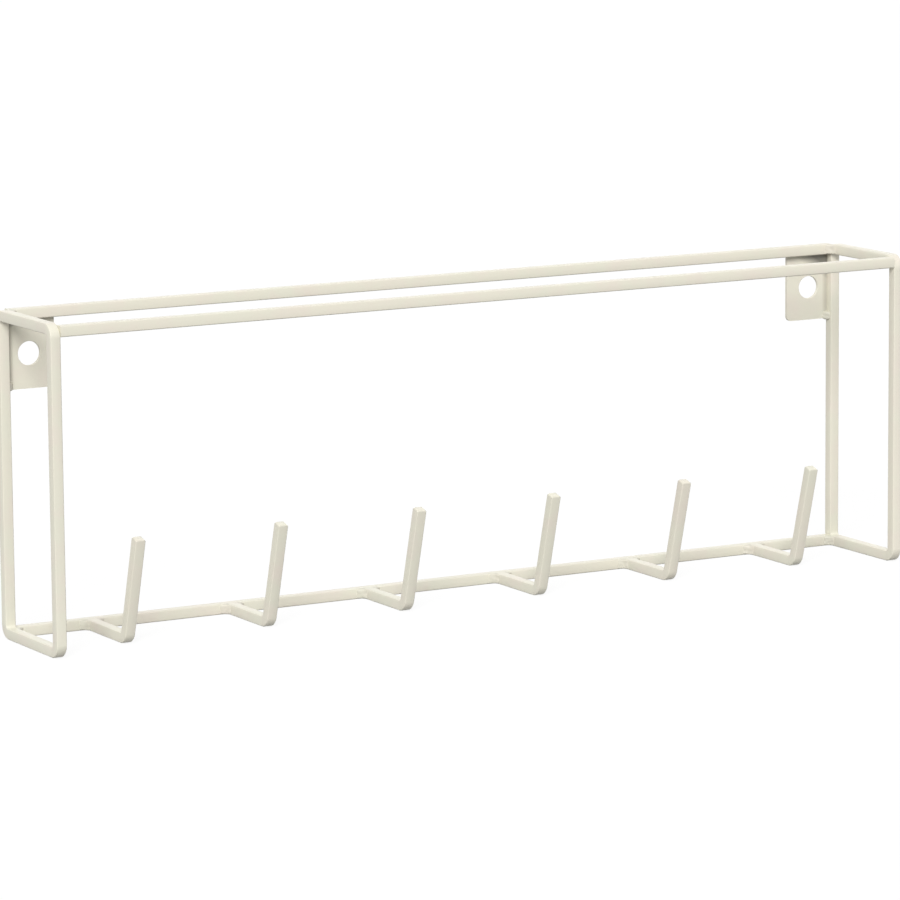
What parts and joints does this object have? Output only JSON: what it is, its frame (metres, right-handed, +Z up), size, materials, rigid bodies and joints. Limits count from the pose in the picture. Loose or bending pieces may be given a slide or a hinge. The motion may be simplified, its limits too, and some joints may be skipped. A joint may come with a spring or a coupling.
{
  "type": "wall coat rack",
  "caption": "Wall coat rack welded from bent square steel bar, with two loop ends, two top rails and a row of leaning hooks on the bottom rail.",
  "frame": {"origin": "midway between the two screw holes, on the wall plane at the back of the rack", "axes": "+X along the rails to the right as seen by someone facing the wall, +Y into the wall, +Z up"},
  "size_m": [0.45, 0.06, 0.15],
  "materials": {
    "cream_coat": "satin powder coat"
  },
  "bodies": {
    "root": {"side_frame_left": "cream_coat", "side_frame_right": "cream_coat", "top_back_rail": "cream_coat", "top_front_rail": "cream_coat", "bottom_rail": "cream_coat", "hook_1": "cream_coat", "hook_2": "cream_coat", "hook_3": "cream_coat", "hook_4": "cream_coat", "hook_5": "cream_coat", "hook_6": "cream_coat", "mounting_plate_left": "cream_coat", "mounting_plate_right": "cream_coat"}
  },
  "joints": []
}
